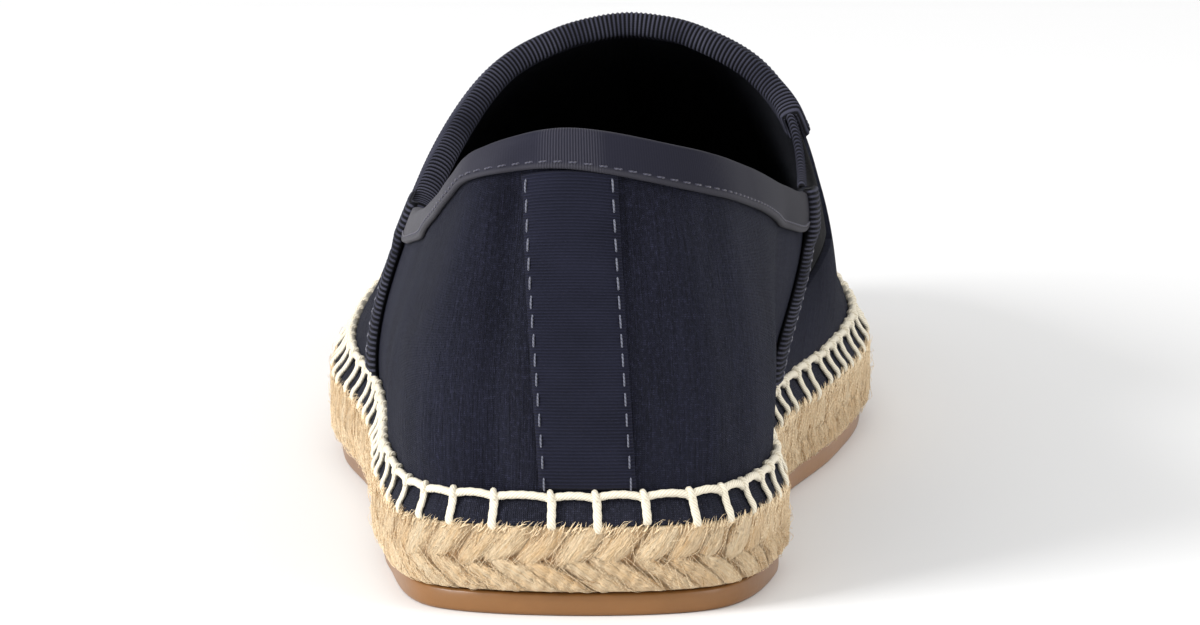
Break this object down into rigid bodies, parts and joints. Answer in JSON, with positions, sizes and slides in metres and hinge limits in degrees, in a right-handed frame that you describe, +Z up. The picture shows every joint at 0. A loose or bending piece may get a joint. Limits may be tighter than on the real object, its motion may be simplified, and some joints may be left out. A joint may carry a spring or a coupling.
{
  "type": "espadrille",
  "caption": "Slip-on espadrille: canvas upper with ribbon bindings and an elastic gore on a braided jute midsole with a thin rubber outsole.",
  "frame": {"origin": "on the floor under the middle of the shoe's bounding box", "axes": "+Z up from the floor, +Y from heel to toe, +X towards the inner side of this left shoe"},
  "size_m": [0.1076, 0.2868, 0.0891],
  "materials": {
    "rubber_sole": "matte tan gum rubber",
    "jute": "coarse braided plant fibre",
    "insole_cloth": "plain dark cloth",
    "canvas": "matte navy canvas",
    "elastic": "black elastic web",
    "throat_tape": "ribbed ribbon, slight sheen",
    "collar_tape": "grey ribbon, slight sheen",
    "heel_tape": "ribbed ribbon"
  },
  "bodies": {
    "root": {"outsole": "rubber_sole", "jute_midsole": "jute", "insole": "insole_cloth", "upper": "canvas", "gore": "elastic", "throat_binding": "throat_tape", "collar_binding": "collar_tape", "edge_binding_inner": "throat_tape", "edge_binding_outer": "throat_tape", "heel_strip": "heel_tape"}
  },
  "joints": []
}
